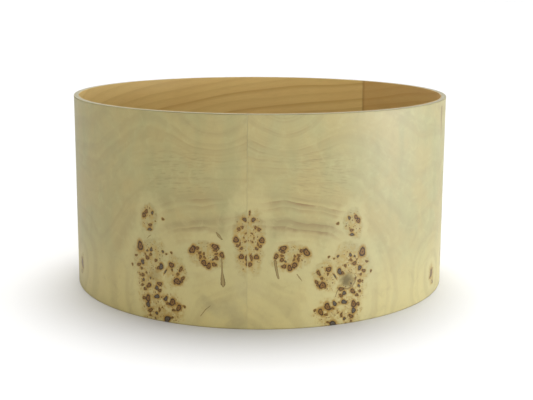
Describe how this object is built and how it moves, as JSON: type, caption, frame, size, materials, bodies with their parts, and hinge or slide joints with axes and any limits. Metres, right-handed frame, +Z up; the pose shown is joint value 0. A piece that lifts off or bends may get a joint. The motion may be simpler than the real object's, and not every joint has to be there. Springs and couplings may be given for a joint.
{
  "type": "bass drum shell",
  "caption": "Bare round bass drum shell, open at both ends: cross-laminated plywood wall with square-cut edges, faced outside with book-matched burl veneer.",
  "frame": {"origin": "centre of the lower edge, on the surface that the shell stands on", "axes": "+Z up along the shell's axis; -Y points to the front seam between the two front burl leaves"},
  "size_m": [0.607, 0.607, 0.3048],
  "materials": {
    "inner_face_wood": "raw sanded wood, warm brown, grain running round the drum",
    "core_wood": "raw plywood edge, sanded",
    "burl_veneer": "raw sanded burl veneer, pale cream with dark brown eyes"
  },
  "bodies": {
    "root": {"inner_face_ply": "inner_face_wood", "cross_ply_1_first_sheet": "core_wood", "cross_ply_1_second_sheet": "core_wood", "long_ply_2": "core_wood", "cross_ply_3_first_sheet": "core_wood", "cross_ply_3_second_sheet": "core_wood", "long_ply_4": "core_wood", "cross_ply_5_first_sheet": "core_wood", "cross_ply_5_second_sheet": "core_wood", "outer_core_ply": "core_wood", "burl_leaf_front_right": "burl_veneer", "burl_leaf_back_right": "burl_veneer", "burl_leaf_back": "burl_veneer", "burl_leaf_back_left": "burl_veneer", "burl_leaf_front_left": "burl_veneer"}
  },
  "joints": []
}
